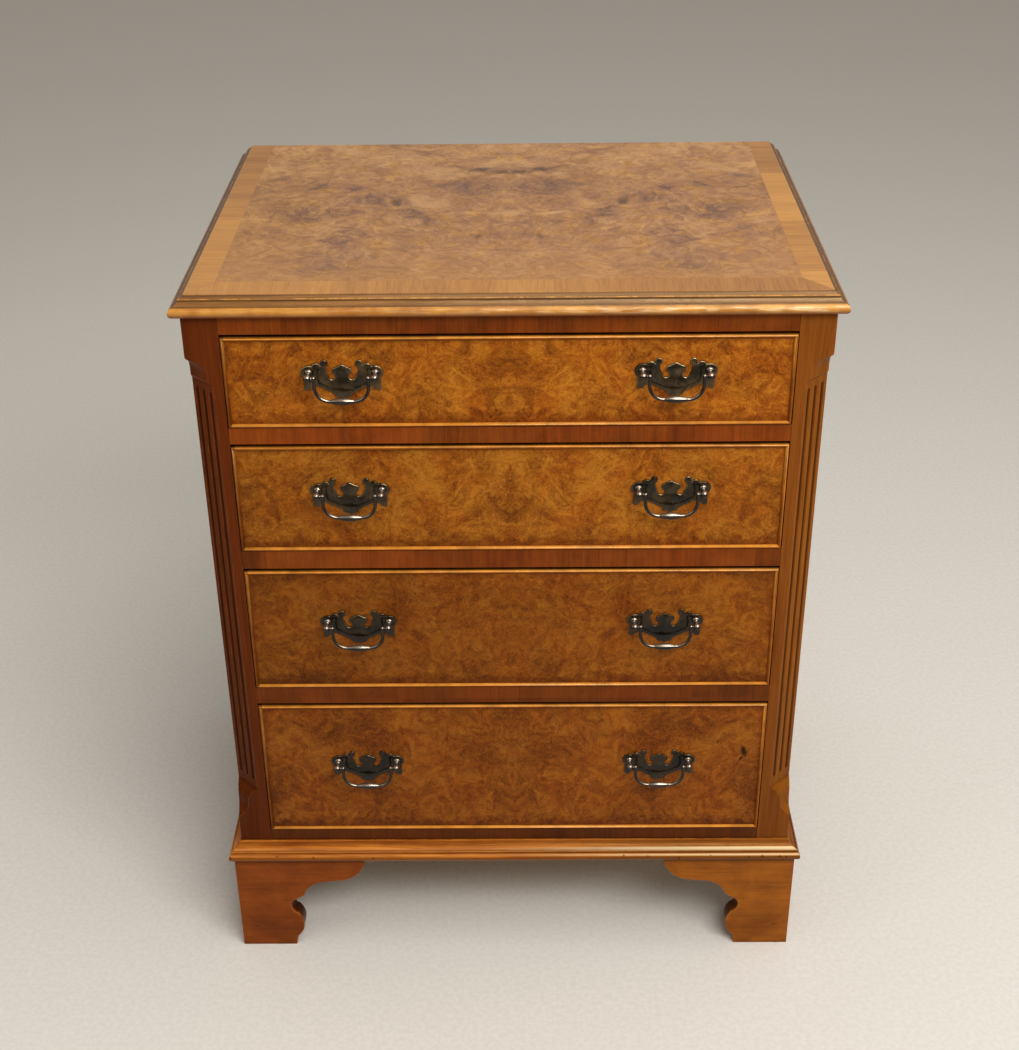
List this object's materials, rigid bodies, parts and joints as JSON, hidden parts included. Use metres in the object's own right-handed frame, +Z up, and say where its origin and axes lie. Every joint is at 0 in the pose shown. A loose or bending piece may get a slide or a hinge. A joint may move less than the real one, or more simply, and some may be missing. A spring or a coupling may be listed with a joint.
{
  "type": "bachelors chest",
  "caption": "Walnut bachelor's chest with graduated sliding drawers, canted fluted corners, moulded top, bracket feet and swinging bail handles.",
  "frame": {"origin": "middle of the footprint at floor level, measured over the handles and the back", "axes": "+Z up, drawers open towards -Y, +X to the right seen from the front"},
  "size_m": [0.619, 0.465, 0.777],
  "materials": {
    "burr_walnut_top": "polished burr walnut veneer with a crossbanded border",
    "burr_walnut_front": "polished book-matched burr walnut veneer",
    "crossband_walnut": "polished walnut crossbanding",
    "straight_walnut": "polished straight-grained walnut",
    "moulded_walnut": "polished solid walnut mouldings and feet",
    "bead_walnut": "polished light walnut cockbead",
    "drawer_lining": "planed, unfinished oak",
    "back_plywood": "stained plywood",
    "antique_brass": "antiqued dark brass, polished on the high spots"
  },
  "bodies": {
    "case": {"top_board": "burr_walnut_top", "top_moulding_front": "moulded_walnut", "top_moulding_left": "moulded_walnut", "top_moulding_right": "moulded_walnut", "side_panel_left": "straight_walnut", "side_panel_right": "straight_walnut", "corner_post_left": "straight_walnut", "corner_post_right": "straight_walnut", "back_panel": "back_plywood", "frieze_rail": "crossband_walnut", "drawer_rail_1": "crossband_walnut", "drawer_rail_2": "crossband_walnut", "drawer_rail_3": "crossband_walnut", "bottom_rail": "crossband_walnut", "bottom_board": "drawer_lining", "drawer_runners": "drawer_lining", "drawer_stops": "drawer_lining", "base_moulding_front": "moulded_walnut", "base_moulding_left": "moulded_walnut", "base_moulding_right": "moulded_walnut", "foot_front_left": "moulded_walnut", "foot_front_right": "moulded_walnut", "foot_rear_left": "moulded_walnut", "foot_rear_right": "moulded_walnut"},
    "drawer_1": {"drawer_1_front": "burr_walnut_front", "drawer_1_cockbead": "bead_walnut", "drawer_1_sides": "drawer_lining", "drawer_1_back": "drawer_lining", "drawer_1_bottom": "drawer_lining", "drawer_1_backplates": "antique_brass", "drawer_1_handle_posts": "antique_brass"},
    "bail_1_left": {"drawer_1_bail_left": "antique_brass"},
    "bail_1_right": {"drawer_1_bail_right": "antique_brass"},
    "drawer_2": {"drawer_2_front": "burr_walnut_front", "drawer_2_cockbead": "bead_walnut", "drawer_2_sides": "drawer_lining", "drawer_2_back": "drawer_lining", "drawer_2_bottom": "drawer_lining", "drawer_2_backplates": "antique_brass", "drawer_2_handle_posts": "antique_brass"},
    "bail_2_left": {"drawer_2_bail_left": "antique_brass"},
    "bail_2_right": {"drawer_2_bail_right": "antique_brass"},
    "drawer_3": {"drawer_3_front": "burr_walnut_front", "drawer_3_cockbead": "bead_walnut", "drawer_3_sides": "drawer_lining", "drawer_3_back": "drawer_lining", "drawer_3_bottom": "drawer_lining", "drawer_3_backplates": "antique_brass", "drawer_3_handle_posts": "antique_brass"},
    "bail_3_left": {"drawer_3_bail_left": "antique_brass"},
    "bail_3_right": {"drawer_3_bail_right": "antique_brass"},
    "drawer_4": {"drawer_4_front": "burr_walnut_front", "drawer_4_cockbead": "bead_walnut", "drawer_4_sides": "drawer_lining", "drawer_4_back": "drawer_lining", "drawer_4_bottom": "drawer_lining", "drawer_4_backplates": "antique_brass", "drawer_4_handle_posts": "antique_brass"},
    "bail_4_left": {"drawer_4_bail_left": "antique_brass"},
    "bail_4_right": {"drawer_4_bail_right": "antique_brass"}
  },
  "joints": [
    {"name": "drawer_1_slide", "type": "slide", "parent": "case", "child": "drawer_1", "axis": [0, -1, 0], "range_m": [0, 0.3]},
    {"name": "bail_1_left_hinge", "type": "hinge", "parent": "drawer_1", "child": "bail_1_left", "pos_m": [-0.153, -0.22895, 0.70105], "axis": [-1, 0, 0], "range_deg": [-15, 100]},
    {"name": "bail_1_right_hinge", "type": "hinge", "parent": "drawer_1", "child": "bail_1_right", "pos_m": [0.153, -0.22895, 0.70105], "axis": [-1, 0, 0], "range_deg": [-15, 100]},
    {"name": "drawer_2_slide", "type": "slide", "parent": "case", "child": "drawer_2", "axis": [0, -1, 0], "range_m": [0, 0.3]},
    {"name": "bail_2_left_hinge", "type": "hinge", "parent": "drawer_2", "child": "bail_2_left", "pos_m": [-0.153, -0.22895, 0.5784], "axis": [-1, 0, 0], "range_deg": [-15, 100]},
    {"name": "bail_2_right_hinge", "type": "hinge", "parent": "drawer_2", "child": "bail_2_right", "pos_m": [0.153, -0.22895, 0.5784], "axis": [-1, 0, 0], "range_deg": [-15, 100]},
    {"name": "drawer_3_slide", "type": "slide", "parent": "case", "child": "drawer_3", "axis": [0, -1, 0], "range_m": [0, 0.3]},
    {"name": "bail_3_left_hinge", "type": "hinge", "parent": "drawer_3", "child": "bail_3_left", "pos_m": [-0.153, -0.22895, 0.4284], "axis": [-1, 0, 0], "range_deg": [-15, 100]},
    {"name": "bail_3_right_hinge", "type": "hinge", "parent": "drawer_3", "child": "bail_3_right", "pos_m": [0.153, -0.22895, 0.4284], "axis": [-1, 0, 0], "range_deg": [-15, 100]},
    {"name": "drawer_4_slide", "type": "slide", "parent": "case", "child": "drawer_4", "axis": [0, -1, 0], "range_m": [0, 0.3]},
    {"name": "bail_4_left_hinge", "type": "hinge", "parent": "drawer_4", "child": "bail_4_left", "pos_m": [-0.153, -0.22895, 0.2531], "axis": [-1, 0, 0], "range_deg": [-15, 100]},
    {"name": "bail_4_right_hinge", "type": "hinge", "parent": "drawer_4", "child": "bail_4_right", "pos_m": [0.153, -0.22895, 0.2531], "axis": [-1, 0, 0], "range_deg": [-15, 100]}
  ]
}
